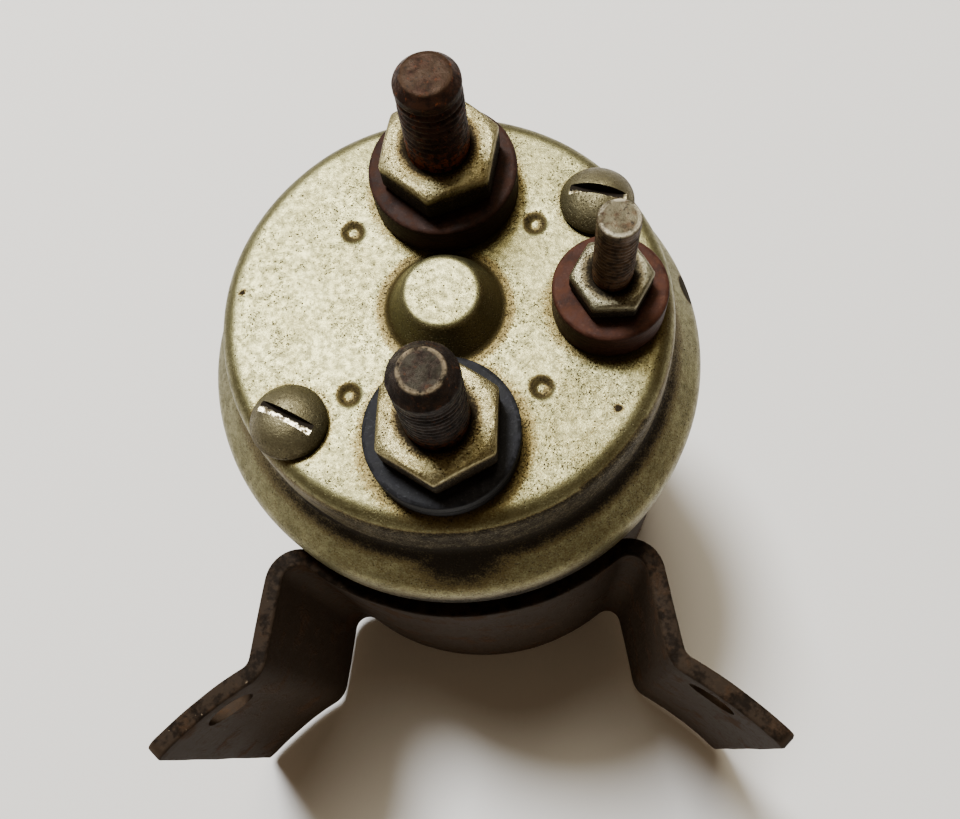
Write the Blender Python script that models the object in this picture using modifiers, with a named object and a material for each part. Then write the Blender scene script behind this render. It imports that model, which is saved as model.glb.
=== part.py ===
"""Starter solenoid switch: a round can with a stepped terminal cap, three studs and a two-legged strap bracket.

The can stands on its flat rear end. +Z runs along its axis towards the terminals, and the bracket's feet
point to -Y. Sizes below are in millimetres; MM turns them into Blender's metres. GAP parts the touching pieces.
"""

import math

import bmesh
import bpy
from mathutils import Matrix, Vector

MM = 0.001
GAP = 0.3
TURN_STEPS = 40
SMALL_TURN_STEPS = 24
COLLECTION = "starter_solenoid"

# The can and its cap. FACE is the height of the cap's flat face above the rear end.
FACE = 86.0
CAN_RADIUS = 33.2
CAN_WALL = 1.2
CAN_TOP = 69.5
REAR_CORNER = 2.5
CAP_WALL = 0.9
CAP_RADIUS = 29.2
CAP_RIM = 1.8
FLANGE_RADIUS = 34.4
FLANGE_DROP = 20.6
STEP_DROP = 8.5
STEP_FILLET = 2.2
STEP_SLOPE = 50.0
FLANGE_ROUND = 4.0
DOME_BASE_RADIUS = 7.5
DOME_TOP_RADIUS = 4.85
DOME_HEIGHT = 5.0
DIMPLE_X, DIMPLE_Y = 12.0, 11.4
DIMPLE_SPHERE, DIMPLE_DEPTH = 2.25, 0.45

# The strap bracket, described along its centreline from the middle of the saddle to the tip of one foot.
STRAP_THICKNESS = 2.5
STRAP_BOTTOM, STRAP_TOP = 4.4, 63.1
SADDLE_ANGLE = 37.0
CREST_RADIUS = 3.65
LEG_HEADING = -81.0
LEG_LENGTH = 11.0
FOOT_BEND_RADIUS = 3.2
FOOT_HEADINGS = (-31.0, -34.0, -43.0, -46.8)
MOTOR_RADIUS = 57.15
FOOT_CORNER = 2.0
FOOT_HOLE_RADIUS = 3.55
FOOT_HOLE_HEIGHT = 56.6
FOOT_HOLE_INWARD = 2.2

# Terminals: place, thread radius, tip height above the face, tip radius, insulator and nut.
TERMINALS = {
    "battery": {
        "place": (0.3, 17.2), "radius": 3.97, "tip": 24.1, "tip_radius": 2.9, "chamfer": 1.3,
        "insulator_radius": 9.6, "insulator_top": 5.4, "hole": 5.6,
        "nut_flats": 13.7, "nut_height": 4.8, "nut_turn": 19.0,
        "head_radius": 6.0, "head_bottom": 73.1, "head_top": 77.7,
    },
    "starter": {
        "place": (-0.2, -17.7), "radius": 3.92, "tip": 23.9, "tip_radius": 2.45, "chamfer": 1.8,
        "insulator_radius": 9.5, "insulator_top": 4.2, "hole": 5.6,
        "nut_flats": 13.7, "nut_height": 4.8, "nut_turn": 26.6,
        "head_radius": 6.0, "head_bottom": 73.1, "head_top": 77.7,
    },
    "control": {
        "place": (20.6, -0.7), "radius": 2.42, "tip": 22.0, "tip_radius": 2.05, "chamfer": 0.6,
        "insulator_radius": 7.1, "insulator_top": 5.6, "hole": 4.0,
        "nut_flats": 8.7, "nut_height": 3.2, "nut_turn": 59.7,
        "head_radius": 3.8, "head_bottom": 74.8, "head_top": 76.6,
    },
}
CAP_SCREWS = {
    "cap_screw_left": {"place": (-19.3, -14.8), "slot_turn": -28.0},
    "cap_screw_right": {"place": (20.0, 13.9), "slot_turn": -14.0},
}
SCREW_HEAD_RADIUS, SCREW_HEAD_HEIGHT = 4.85, 3.5
SCREW_SHANK_RADIUS, SCREW_TIP = 2.2, 79.0
SCREW_HOLE = 2.6
SCREW_SLOT_WIDTH, SCREW_SLOT_DEPTH = 1.4, 1.4

# The working parts inside, as heights above the rear end.
FLOOR = CAN_WALL + GAP
BOARD_BOTTOM, BOARD_TOP, BOARD_RADIUS, BOARD_BORE = 78.0, 84.8, 27.6, 5.0
BOBBIN_TOP, BOBBIN_FLANGE, BOBBIN_RADIUS = 53.5, 1.6, 31.0
SLEEVE_OUTER, SLEEVE_INNER = 10.5, 9.9
PLATE_BOTTOM, PLATE_TOP, PLATE_RADIUS = 53.8, 56.8, 31.7
CORE_BOTTOM, CORE_TOP, CORE_RADIUS, CORE_BORE, COLLAR_RADIUS = 40.0, 58.8, 9.6, 3.0, 12.5
PLUNGER_BOTTOM, PLUNGER_TOP, PLUNGER_RADIUS = 3.3, 36.0, 9.8
ROD_BOTTOM, ROD_TOP, ROD_RADIUS, ROD_TIP_RADIUS = 28.3, 84.0, 2.5, 2.0
ROD_COLLAR_BOTTOM, ROD_COLLAR_TOP, ROD_COLLAR_RADIUS = 60.0, 61.2, 6.3
DISC_BOTTOM, DISC_TOP, DISC_RADIUS, DISC_BORE = 67.5, 70.0, 22.0, 4.4
DISC_WASHER_RADIUS, DISC_WASHER_HEIGHT = 8.0, 1.2
CLIP_BOTTOM, CLIP_TOP, CLIP_RADIUS = 71.8, 72.6, 3.9
SEAT_BOTTOM, SEAT_TOP, SEAT_RADIUS = 72.9, 73.7, 4.2
LEAD_PLACE, LEAD_RADIUS, LEAD_HOLE = 25.6, 0.9, 1.6

# Colour, roughness and metallic value of each material.
MATERIALS = {
    "plated_steel": ((0.62, 0.59, 0.48), 0.42, 0.9),
    "black_paint": ((0.045, 0.036, 0.030), 0.5, 0.0),
    "rusty_strap": ((0.085, 0.055, 0.038), 0.55, 0.3),
    "rusty_stud": ((0.11, 0.065, 0.045), 0.6, 0.6),
    "dull_stud": ((0.20, 0.17, 0.14), 0.5, 0.7),
    "yellow_plated_nut": ((0.60, 0.52, 0.33), 0.4, 0.9),
    "screw_steel": ((0.33, 0.31, 0.25), 0.42, 0.85),
    "dark_fibre": ((0.060, 0.035, 0.034), 0.6, 0.0),
    "slate_fibre": ((0.075, 0.075, 0.095), 0.5, 0.0),
    "red_fibre": ((0.22, 0.070, 0.050), 0.65, 0.0),
    "moulded_board": ((0.10, 0.050, 0.035), 0.45, 0.0),
    "bobbin_plastic": ((0.16, 0.12, 0.09), 0.5, 0.0),
    "copper_wire": ((0.72, 0.30, 0.16), 0.35, 1.0),
    "wrap_paper": ((0.45, 0.34, 0.20), 0.8, 0.0),
    "brass": ((0.75, 0.58, 0.28), 0.35, 1.0),
    "soft_iron": ((0.36, 0.35, 0.34), 0.4, 1.0),
    "copper_contact": ((0.78, 0.40, 0.24), 0.3, 1.0),
    "spring_steel": ((0.45, 0.45, 0.46), 0.3, 1.0),
    "cork": ((0.38, 0.26, 0.15), 0.85, 0.0),
    "cloth_sleeve": ((0.12, 0.11, 0.07), 0.8, 0.0),
}


# ---------------------------------------------------------------- scene and materials

def clear_scene():
    for obj in list(bpy.data.objects):
        bpy.data.objects.remove(obj, do_unlink=True)


def new_collection(name):
    collection = bpy.data.collections.new(name)
    bpy.context.scene.collection.children.link(collection)
    return collection


def material(name):
    found = bpy.data.materials.get(name)
    if found:
        return found
    colour, roughness, metallic = MATERIALS[name]
    made = bpy.data.materials.new(name)
    made.use_nodes = True
    shader = made.node_tree.nodes["Principled BSDF"]
    shader.inputs["Base Color"].default_value = (*colour, 1.0)
    shader.inputs["Roughness"].default_value = roughness
    shader.inputs["Metallic"].default_value = metallic
    made.diffuse_color = (*colour, 1.0)
    return made


def add_part(name, mesh, slot):
    obj = bpy.data.objects.new(name, mesh)
    parts.objects.link(obj)
    obj.data.materials.append(material(slot))
    return obj


def add_cutter(name, mesh):
    obj = bpy.data.objects.new(name, mesh)
    cutters.objects.link(obj)
    obj.hide_render = True
    obj.display_type = "WIRE"
    return obj


# ---------------------------------------------------------------- shapes

def arc(centre, radius, start, end, count):
    """Points on an arc in the (radius, height) plane, from start to end in degrees, both ends included."""
    angles = [math.radians(start + (end - start) * i / count) for i in range(count + 1)]
    return [(centre[0] + radius * math.cos(a), centre[1] + radius * math.sin(a)) for a in angles]


def box_ring(outer, inner, bottom, top):
    """The closed profile of a plain ring, down its outer side."""
    return [(inner, top), (outer, top), (outer, bottom), (inner, bottom)]


def turned_mesh(name, profile, closed):
    mesh = bpy.data.meshes.new(name)
    points = [(r * MM, 0.0, z * MM) for r, z in profile]
    edges = [(i, i + 1) for i in range(len(points) - 1)]
    if closed:
        edges.append((len(points) - 1, 0))
    mesh.from_pydata(points, edges, [])
    return mesh


def spin(obj, steps):
    screw = obj.modifiers.new("Turn", "SCREW")
    screw.steps = steps
    screw.render_steps = steps
    screw.use_merge_vertices = True
    screw.merge_threshold = 0.00001
    screw.use_smooth_shade = True
    return screw


def turned(name, profile, slot, closed=True, place=(0.0, 0.0), steps=TURN_STEPS):
    """A turned part. A closed profile makes a ring, and an open one starts and ends on the axis."""
    obj = add_part(name, turned_mesh(name, profile, closed), slot)
    obj.location = (place[0] * MM, place[1] * MM, 0.0)
    spin(obj, steps)
    return obj


def shell(name, profile, wall, slot):
    """A drawn sheet part: the outer profile is turned, and Solidify gives it its wall, inwards."""
    obj = turned(name, profile, slot, closed=False)
    solidify = obj.modifiers.new("Wall", "SOLIDIFY")
    solidify.thickness = wall * MM
    solidify.offset = -1.0
    solidify.use_even_offset = True
    return obj


def prism_mesh(name, outline, bottom, top):
    """A flat outline, given anticlockwise, stood up between two heights."""
    bm = bmesh.new()
    face = bm.faces.new([bm.verts.new((x * MM, y * MM, bottom * MM)) for x, y in outline])
    grown = bmesh.ops.extrude_face_region(bm, geom=[face])
    raised = [item for item in grown["geom"] if isinstance(item, bmesh.types.BMVert)]
    bmesh.ops.translate(bm, verts=raised, vec=(0.0, 0.0, (top - bottom) * MM))
    bmesh.ops.recalc_face_normals(bm, faces=bm.faces)
    mesh = bpy.data.meshes.new(name)
    bm.to_mesh(mesh)
    bm.free()
    return mesh


def boolean(obj, cutter, operation="DIFFERENCE"):
    modifier = obj.modifiers.new(cutter.name, "BOOLEAN")
    modifier.operation = operation
    modifier.solver = "EXACT"
    modifier.object = cutter


def drill(obj, place, radius, bottom, top):
    """A round hole along Z."""
    bm = bmesh.new()
    middle = Matrix.Translation((place[0] * MM, place[1] * MM, (bottom + top) / 2 * MM))
    bmesh.ops.create_cone(
        bm, cap_ends=True, segments=SMALL_TURN_STEPS, radius1=radius * MM, radius2=radius * MM,
        depth=(top - bottom) * MM, matrix=middle,
    )
    mesh = bpy.data.meshes.new(f"{obj.name}_hole")
    bm.to_mesh(mesh)
    bm.free()
    boolean(obj, add_cutter(mesh.name, mesh))


def wire(name, points, radius, slot):
    """A round wire through the points, as a curve with filled ends."""
    curve = bpy.data.curves.new(name, "CURVE")
    curve.dimensions = "3D"
    curve.bevel_depth = radius * MM
    curve.bevel_resolution = 2
    curve.use_fill_caps = True
    spline = curve.splines.new("POLY")
    spline.points.add(len(points) - 1)
    for target, point in zip(spline.points, points):
        target.co = (*[value * MM for value in point], 1.0)
    return add_part(name, curve, slot)


def helix(radius, bottom, top, turns, per_turn=14):
    count = int(turns * per_turn)
    points = []
    for i in range(count + 1):
        angle = 2 * math.pi * turns * i / count
        height = bottom + (top - bottom) * i / count
        points.append((radius * math.cos(angle), radius * math.sin(angle), height))
    return points


# ---------------------------------------------------------------- housing

def make_can_body():
    corner = arc((CAN_RADIUS - REAR_CORNER, REAR_CORNER), REAR_CORNER, 0, -90, 4)
    return shell("can_body", [(CAN_RADIUS, CAN_TOP), *corner, (0.0, 0.0)], CAN_WALL, "black_paint")


def cap_profile():
    """The cap's outer side, from the dome's top down to the skirt, as (radius, height)."""
    dome_top = FACE + DOME_HEIGHT
    dome_round = 1.0
    dome = [(0.0, dome_top)]
    dome += arc((DOME_TOP_RADIUS - dome_round / 2, dome_top - dome_round), dome_round, 90, 25, 3)
    dome += arc((DOME_BASE_RADIUS + 0.4, FACE + 0.8), 0.8, 205, 270, 2)
    rim = arc((CAP_RADIUS - CAP_RIM, FACE - CAP_RIM), CAP_RIM, 90, 0, 4)
    step_centre = (CAP_RADIUS + 0.2 + STEP_FILLET, FACE - STEP_DROP)
    step = arc(step_centre, STEP_FILLET, 180, 270 - STEP_SLOPE, 3)
    slope = math.tan(math.radians(STEP_SLOPE))
    round_start = 90 - STEP_SLOPE
    start_radius = FLANGE_RADIUS - FLANGE_ROUND * (1 - math.cos(math.radians(round_start)))
    start_height = step[-1][1] - (start_radius - step[-1][0]) * slope
    round_height = start_height - FLANGE_ROUND * math.sin(math.radians(round_start))
    flange = arc((FLANGE_RADIUS - FLANGE_ROUND, round_height), FLANGE_ROUND, round_start, 0, 3)
    return [*dome, *rim, *step, *flange, (FLANGE_RADIUS, FACE - FLANGE_DROP)]


def punch_dimple(cap, x, y):
    bm = bmesh.new()
    centre = Matrix.Translation((x * MM, y * MM, (FACE + DIMPLE_SPHERE - DIMPLE_DEPTH) * MM))
    bmesh.ops.create_uvsphere(bm, u_segments=16, v_segments=12, radius=DIMPLE_SPHERE * MM, matrix=centre)
    mesh = bpy.data.meshes.new("end_cap_dimple")
    bm.to_mesh(mesh)
    bm.free()
    boolean(cap, add_cutter(mesh.name, mesh))


def make_end_cap():
    cap = shell("end_cap", cap_profile(), CAP_WALL, "plated_steel")
    for terminal in TERMINALS.values():
        drill(cap, terminal["place"], terminal["hole"], FACE - 3, FACE + 2)
    for screw in CAP_SCREWS.values():
        drill(cap, screw["place"], SCREW_HOLE, FACE - 5, FACE + 2)
    for x in (-DIMPLE_X, DIMPLE_X):
        for y in (-DIMPLE_Y, DIMPLE_Y):
            punch_dimple(cap, x, y)
    return cap


def walk_arc(point, heading, radius, new_heading, count):
    """Steps along an arc in plan. It returns the points after the first, turning left when the heading grows."""
    side = 1 if new_heading > heading else -1
    start = math.radians(heading)
    centre = point + radius * side * Vector((-math.sin(start), math.cos(start)))
    points = []
    for i in range(1, count + 1):
        now = math.radians(heading + (new_heading - heading) * i / count)
        points.append(centre - radius * side * Vector((-math.sin(now), math.cos(now))))
    return points


def strap_half():
    """The strap's centreline in plan, from the middle of the saddle to the tip of the +X foot."""
    saddle_radius = CAN_RADIUS + GAP + STRAP_THICKNESS / 2
    foot_radius = MOTOR_RADIUS + STRAP_THICKNESS / 2
    points = [Vector((0.0, -saddle_radius))]
    points += walk_arc(points[-1], 0.0, saddle_radius, SADDLE_ANGLE, 8)
    points += walk_arc(points[-1], SADDLE_ANGLE, CREST_RADIUS, LEG_HEADING, 8)
    down = math.radians(LEG_HEADING)
    points.append(points[-1] + LEG_LENGTH * Vector((math.cos(down), math.sin(down))))
    points += walk_arc(points[-1], LEG_HEADING, FOOT_BEND_RADIUS, FOOT_HEADINGS[0], 4)
    for before, after in zip(FOOT_HEADINGS, FOOT_HEADINGS[1:]):
        points += walk_arc(points[-1], before, foot_radius, after, 1)
    return points


def foot_hole_matrix(side):
    """Where one foot's hole is and which way it faces. side is 1 for the +X foot and -1 for the other."""
    inner, outer = strap_half()[-3:-1]
    along = (outer - inner).normalized()
    middle = (inner + outer) / 2 - FOOT_HOLE_INWARD * along
    across = Vector((side * -along.y, along.x, 0.0))
    place = Matrix.Translation((side * middle.x * MM, middle.y * MM, FOOT_HOLE_HEIGHT * MM))
    return place @ across.to_track_quat("Z", "Y").to_matrix().to_4x4()


def drill_foot(bracket, side):
    bm = bmesh.new()
    bmesh.ops.create_cone(
        bm, cap_ends=True, segments=SMALL_TURN_STEPS, radius1=FOOT_HOLE_RADIUS * MM,
        radius2=FOOT_HOLE_RADIUS * MM, depth=5 * STRAP_THICKNESS * MM, matrix=foot_hole_matrix(side),
    )
    mesh = bpy.data.meshes.new("foot_hole")
    bm.to_mesh(mesh)
    bm.free()
    boolean(bracket, add_cutter("foot_hole", mesh))


def make_mounting_bracket():
    """One bent strap: a sheet drawn along Z from its centreline, with rounded corners on the feet."""
    half = strap_half()
    line = [Vector((-p.x, p.y)) for p in reversed(half[1:])] + half
    bm = bmesh.new()
    verts = [bm.verts.new((p.x * MM, p.y * MM, STRAP_BOTTOM * MM)) for p in line]
    edges = [bm.edges.new(pair) for pair in zip(verts, verts[1:])]
    drawn = bmesh.ops.extrude_edge_only(bm, edges=edges)
    raised = [item for item in drawn["geom"] if isinstance(item, bmesh.types.BMVert)]
    bmesh.ops.translate(bm, verts=raised, vec=(0.0, 0.0, (STRAP_TOP - STRAP_BOTTOM) * MM))
    corners = [v for v in bm.verts if len(v.link_edges) == 2]
    bmesh.ops.bevel(bm, geom=corners, offset=FOOT_CORNER * MM, segments=4, profile=0.5, affect="VERTICES")
    mesh = bpy.data.meshes.new("mounting_bracket")
    bm.to_mesh(mesh)
    bm.free()
    bracket = add_part("mounting_bracket", mesh, "rusty_strap")
    solidify = bracket.modifiers.new("Strap thickness", "SOLIDIFY")
    solidify.thickness = STRAP_THICKNESS * MM
    solidify.offset = 0.0
    solidify.use_even_offset = True
    for side in (-1, 1):
        drill_foot(bracket, side)
    return bracket


def make_cap_gasket():
    return turned("cap_gasket", box_ring(32.3, 30.9, CAN_TOP + GAP, CAN_TOP + 1.5), "cork")


def make_terminal_board():
    profile = [
        (BOARD_BORE, BOARD_TOP), (BOARD_RADIUS - 1.5, BOARD_TOP), (BOARD_RADIUS, BOARD_TOP - 1.8),
        (BOARD_RADIUS, BOARD_BOTTOM), (BOARD_BORE, BOARD_BOTTOM),
    ]
    board = turned("terminal_board", profile, "moulded_board")
    for terminal in TERMINALS.values():
        drill(board, terminal["place"], terminal["radius"] + GAP, BOARD_BOTTOM - 2, BOARD_TOP + 2)
    for screw in CAP_SCREWS.values():
        drill(board, screw["place"], SCREW_HOLE, SCREW_TIP - GAP, BOARD_TOP + 2)
    return board


# ---------------------------------------------------------------- terminals and screws

def make_stud(name, terminal):
    tip = FACE + terminal["tip"]
    radius = terminal["radius"]
    profile = [
        (0.0, tip), (terminal["tip_radius"], tip), (radius, tip - terminal["chamfer"]),
        (radius, terminal["head_top"]), (terminal["head_radius"], terminal["head_top"]),
        (terminal["head_radius"], terminal["head_bottom"]), (0.0, terminal["head_bottom"]),
    ]
    slot = "dull_stud" if name == "control" else "rusty_stud"
    place = terminal["place"]
    return turned(f"{name}_stud", profile, slot, closed=False, place=place, steps=SMALL_TURN_STEPS)


def make_insulator(name, terminal, slot):
    """A thick washer outside the cap, with a spigot that lines the cap's hole."""
    bore = terminal["radius"] + GAP
    spigot = terminal["hole"] - GAP
    outer = terminal["insulator_radius"]
    top = FACE + terminal["insulator_top"]
    profile = [
        (bore, top), (outer - 0.3, top), (outer, top - 0.3), (outer, FACE + GAP),
        (spigot, FACE + GAP), (spigot, BOARD_TOP + GAP), (bore, BOARD_TOP + GAP),
    ]
    place = terminal["place"]
    return turned(f"{name}_insulator", profile, slot, place=place, steps=SMALL_TURN_STEPS)


def make_nut(name, terminal):
    """A hexagon cut to a round, chamfered outline on top, with a plain bore in place of its thread."""
    bottom = FACE + terminal["insulator_top"] + GAP
    top = bottom + terminal["nut_height"]
    corner = terminal["nut_flats"] / math.sqrt(3)
    bm = bmesh.new()
    middle = Matrix.Translation((0.0, 0.0, (bottom + top) / 2 * MM))
    turn = Matrix.Rotation(math.radians(terminal["nut_turn"] - 30), 4, "Z")
    bmesh.ops.create_cone(
        bm, cap_ends=True, segments=6, radius1=corner * MM, radius2=corner * MM,
        depth=(top - bottom) * MM, matrix=turn @ middle,
    )
    mesh = bpy.data.meshes.new(f"{name}_nut")
    bm.to_mesh(mesh)
    bm.free()
    nut = add_part(f"{name}_nut", mesh, "yellow_plated_nut")
    nut.location = (terminal["place"][0] * MM, terminal["place"][1] * MM, 0.0)
    flat = terminal["nut_flats"] / 2
    bore = terminal["radius"] + GAP
    blank = [
        (bore + 0.5, top + 0.01), (flat - 0.3, top + 0.01), (corner + 0.3, top - 1.1),
        (corner + 0.3, bottom - 1.0), (bore, bottom - 1.0), (bore, top - 0.5),
    ]
    blank_mesh = turned_mesh(f"{name}_nut_blank", blank, closed=True)
    cutter = add_cutter(blank_mesh.name, blank_mesh)
    cutter.location = nut.location
    spin(cutter, SMALL_TURN_STEPS)
    boolean(nut, cutter, "INTERSECT")
    return nut


def make_cap_screw(name, screw):
    """A slotted round-head screw."""
    bottom = FACE + GAP
    rise = SCREW_HEAD_HEIGHT - 0.6
    sphere = (SCREW_HEAD_RADIUS**2 + rise**2) / (2 * rise)
    edge = math.degrees(math.asin(SCREW_HEAD_RADIUS / sphere))
    crown = arc((0.0, bottom + SCREW_HEAD_HEIGHT - sphere), sphere, 90, 90 - edge, 5)
    profile = [
        (0.0, bottom + SCREW_HEAD_HEIGHT), *crown[1:], (SCREW_HEAD_RADIUS, bottom),
        (SCREW_SHANK_RADIUS, bottom), (SCREW_SHANK_RADIUS, SCREW_TIP), (0.0, SCREW_TIP),
    ]
    head = turned(name, profile, "screw_steel", closed=False, place=screw["place"], steps=SMALL_TURN_STEPS)
    floor = bottom + SCREW_HEAD_HEIGHT - SCREW_SLOT_DEPTH
    reach, half = SCREW_HEAD_RADIUS + 1.0, SCREW_SLOT_WIDTH / 2
    outline = [(-reach, -half), (reach, -half), (reach, half), (-reach, half)]
    slot = add_cutter(f"{name}_slot", prism_mesh(f"{name}_slot", outline, floor, floor + 5))
    slot.location = head.location
    slot.rotation_euler.z = math.radians(screw["slot_turn"])
    boolean(head, slot)
    return head


# ---------------------------------------------------------------- coil and magnetic circuit

def make_coil_bobbin():
    tube = SLEEVE_OUTER + GAP
    outer_tube = tube + 1.2
    bottom_flange = FLOOR + BOBBIN_FLANGE
    top_flange = BOBBIN_TOP - BOBBIN_FLANGE
    profile = [
        (tube, BOBBIN_TOP), (BOBBIN_RADIUS, BOBBIN_TOP), (BOBBIN_RADIUS, top_flange),
        (outer_tube, top_flange), (outer_tube, bottom_flange), (BOBBIN_RADIUS, bottom_flange),
        (BOBBIN_RADIUS, FLOOR), (tube, FLOOR),
    ]
    bobbin = turned("coil_bobbin", profile, "bobbin_plastic")
    for side in (-1, 1):
        drill(bobbin, (side * LEAD_PLACE, 0.0), LEAD_HOLE, top_flange - 1, BOBBIN_TOP + 1)
    return bobbin


def make_coil():
    bottom = FLOOR + BOBBIN_FLANGE + GAP
    top = BOBBIN_TOP - BOBBIN_FLANGE - GAP
    inner = SLEEVE_OUTER + 2 * GAP + 1.2
    turned("coil_winding", box_ring(27.5, inner, bottom, top), "copper_wire")
    turned("winding_wrap", box_ring(28.4, 27.8, bottom, top), "wrap_paper")


def make_magnetic_circuit():
    turned("guide_sleeve", box_ring(SLEEVE_OUTER, SLEEVE_INNER, FLOOR, BOBBIN_TOP), "brass")
    turned("plunger_stop", [(0.0, 3.0), (9.2, 3.0), (9.2, FLOOR), (0.0, FLOOR)], "red_fibre", closed=False)
    plate = turned("flux_plate", box_ring(PLATE_RADIUS, CORE_RADIUS + GAP, PLATE_BOTTOM, PLATE_TOP), "soft_iron")
    for side in (-1, 1):
        drill(plate, (side * LEAD_PLACE, 0.0), LEAD_HOLE, PLATE_BOTTOM - 1, PLATE_TOP + 1)
    collar = PLATE_TOP + GAP
    core = [
        (CORE_BORE, CORE_TOP), (COLLAR_RADIUS, CORE_TOP), (COLLAR_RADIUS, collar), (CORE_RADIUS, collar),
        (CORE_RADIUS, CORE_BOTTOM), (CORE_BORE, CORE_BOTTOM),
    ]
    turned("fixed_core", core, "soft_iron")


def make_leads():
    """The control lead runs from the coil to its stud's lug, and the ground lead to the flux plate."""
    control = TERMINALS["control"]
    lug_bottom, lug_top = control["head_top"] + GAP, BOARD_BOTTOM - GAP
    eye = (control["place"][0], control["place"][1])
    outline = arc(eye, 3.6, 30, 330, 12) + [(eye[0] + 6.4, eye[1] - 1.8), (eye[0] + 6.4, eye[1] + 1.8)]
    lug = add_part("control_lug", prism_mesh("control_lug", outline, lug_bottom, lug_top), "brass")
    drill(lug, eye, control["radius"] + GAP, lug_bottom - 1, lug_top + 1)
    start = BOBBIN_TOP - BOBBIN_FLANGE
    control_route = [
        (LEAD_PLACE, 0.0, start), (LEAD_PLACE, 0.0, 58.0), (LEAD_PLACE + 0.3, -0.2, 62.0),
        (LEAD_PLACE + 0.5, -0.5, 67.0), (LEAD_PLACE + 0.4, -0.7, 72.0), (LEAD_PLACE + 0.3, -0.7, lug_bottom - GAP),
    ]
    wire("control_lead", control_route, LEAD_RADIUS, "cloth_sleeve")
    ground_route = [
        (-LEAD_PLACE, 0.0, start), (-LEAD_PLACE, 0.0, 58.5), (-LEAD_PLACE + 0.6, 0.0, 60.5),
        (-LEAD_PLACE + 2.2, 0.0, 61.6), (-LEAD_PLACE + 4.2, 0.0, 61.2), (-LEAD_PLACE + 5.6, 0.0, 59.6),
        (-LEAD_PLACE + 6.2, 0.0, PLATE_TOP + GAP),
    ]
    wire("ground_lead", ground_route, LEAD_RADIUS, "cloth_sleeve")


# ---------------------------------------------------------------- moving parts

def make_plunger():
    bore, bore_floor, chamfer = ROD_RADIUS + GAP, ROD_BOTTOM - GAP, 0.8
    profile = [
        (0.0, bore_floor), (bore, bore_floor), (bore, PLUNGER_TOP), (PLUNGER_RADIUS - chamfer, PLUNGER_TOP),
        (PLUNGER_RADIUS, PLUNGER_TOP - chamfer), (PLUNGER_RADIUS, PLUNGER_BOTTOM + chamfer),
        (PLUNGER_RADIUS - chamfer, PLUNGER_BOTTOM), (0.0, PLUNGER_BOTTOM),
    ]
    rod = [
        (0.0, ROD_TOP), (ROD_TIP_RADIUS - 0.5, ROD_TOP), (ROD_TIP_RADIUS, ROD_TOP - 0.8),
        (ROD_TIP_RADIUS, ROD_COLLAR_TOP), (ROD_COLLAR_RADIUS, ROD_COLLAR_TOP),
        (ROD_COLLAR_RADIUS, ROD_COLLAR_BOTTOM), (ROD_RADIUS, ROD_COLLAR_BOTTOM), (ROD_RADIUS, ROD_BOTTOM),
        (0.0, ROD_BOTTOM),
    ]
    bore_in_clip = ROD_TIP_RADIUS + 0.1
    return [
        turned("plunger", profile, "soft_iron", closed=False),
        turned("plunger_rod", rod, "brass", closed=False, steps=SMALL_TURN_STEPS),
        turned("disc_clip", box_ring(CLIP_RADIUS, bore_in_clip, CLIP_BOTTOM, CLIP_TOP), "spring_steel",
               steps=SMALL_TURN_STEPS),
        turned("spring_seat", box_ring(SEAT_RADIUS, bore_in_clip, SEAT_BOTTOM, SEAT_TOP), "spring_steel",
               steps=SMALL_TURN_STEPS),
        wire("contact_spring", helix(5.2, ROD_COLLAR_TOP + 0.9, DISC_BOTTOM - 2.4, 2.5), 0.5, "spring_steel"),
    ]


def make_contact_carrier():
    """The contact disc between two insulating washers. The upper one has a spigot that lines the disc's bore."""
    bore = ROD_TIP_RADIUS + 0.1
    low_top = DISC_BOTTOM - GAP
    high_bottom = DISC_TOP + GAP
    upper = [
        (bore, high_bottom + DISC_WASHER_HEIGHT), (DISC_WASHER_RADIUS, high_bottom + DISC_WASHER_HEIGHT),
        (DISC_WASHER_RADIUS, high_bottom), (DISC_BORE - GAP, high_bottom), (DISC_BORE - GAP, DISC_BOTTOM),
        (bore, DISC_BOTTOM),
    ]
    return [
        turned("contact_disc", box_ring(DISC_RADIUS, DISC_BORE, DISC_BOTTOM, DISC_TOP), "copper_contact"),
        turned("disc_washer_lower", box_ring(DISC_WASHER_RADIUS, bore, low_top - DISC_WASHER_HEIGHT, low_top),
               "red_fibre", steps=SMALL_TURN_STEPS),
        turned("disc_washer_upper", upper, "red_fibre", steps=SMALL_TURN_STEPS),
    ]


def add_slide(name, height, children):
    """An empty on the slide's axis that carries the pieces that move together."""
    empty = bpy.data.objects.new(name, None)
    parts.objects.link(empty)
    empty.location = (0.0, 0.0, height * MM)
    for child in children:
        child.parent = empty
        child.matrix_parent_inverse = Matrix.Translation((0.0, 0.0, -height * MM))
    return empty


clear_scene()
parts = new_collection(COLLECTION)
cutters = new_collection(f"{COLLECTION}_cutters")

make_can_body()
make_end_cap()
make_mounting_bracket()
make_cap_gasket()
make_terminal_board()
for terminal_name, fibre in (("battery", "dark_fibre"), ("starter", "slate_fibre"), ("control", "red_fibre")):
    make_stud(terminal_name, TERMINALS[terminal_name])
    make_insulator(terminal_name, TERMINALS[terminal_name], fibre)
    make_nut(terminal_name, TERMINALS[terminal_name])
for screw_name, screw_data in CAP_SCREWS.items():
    make_cap_screw(screw_name, screw_data)
make_coil_bobbin()
make_coil()
make_magnetic_circuit()
make_leads()
wire("return_spring", helix(3.1, SEAT_TOP + 0.8, FACE + DOME_HEIGHT - 1.8, 6.0, 12), 0.4, "spring_steel")
carrier_slide = add_slide("disc_slide", DISC_BOTTOM, make_contact_carrier())
plunger_slide = add_slide("plunger_slide", PLUNGER_TOP, make_plunger())
carrier_slide.parent = plunger_slide
carrier_slide.matrix_parent_inverse = Matrix.Translation((0.0, 0.0, -PLUNGER_TOP * MM))
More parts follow.
